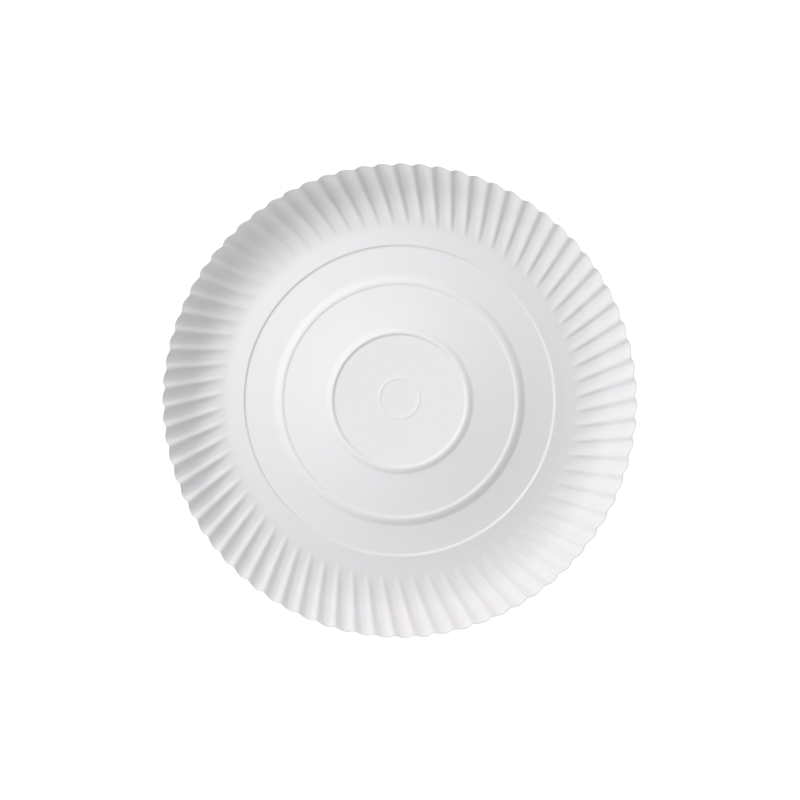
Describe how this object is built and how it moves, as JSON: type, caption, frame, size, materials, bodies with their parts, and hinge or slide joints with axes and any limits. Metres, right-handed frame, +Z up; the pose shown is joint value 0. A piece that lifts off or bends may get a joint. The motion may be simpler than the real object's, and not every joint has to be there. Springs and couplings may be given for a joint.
{
  "type": "paper plate",
  "caption": "Round pressed paperboard plate with a flat ringed base and a raised wall of slanted flutes.",
  "frame": {"origin": "centre of the ring that the plate stands on, at the table's height", "axes": "+Z up along the plate's axis, out of the dish; +X and +Y lie in the table, with the crest of one flute on +X at the rim"},
  "size_m": [0.23, 0.23, 0.0161],
  "materials": {
    "board": "matte uncoated white board"
  },
  "bodies": {
    "root": {"plate": "board"}
  },
  "joints": []
}
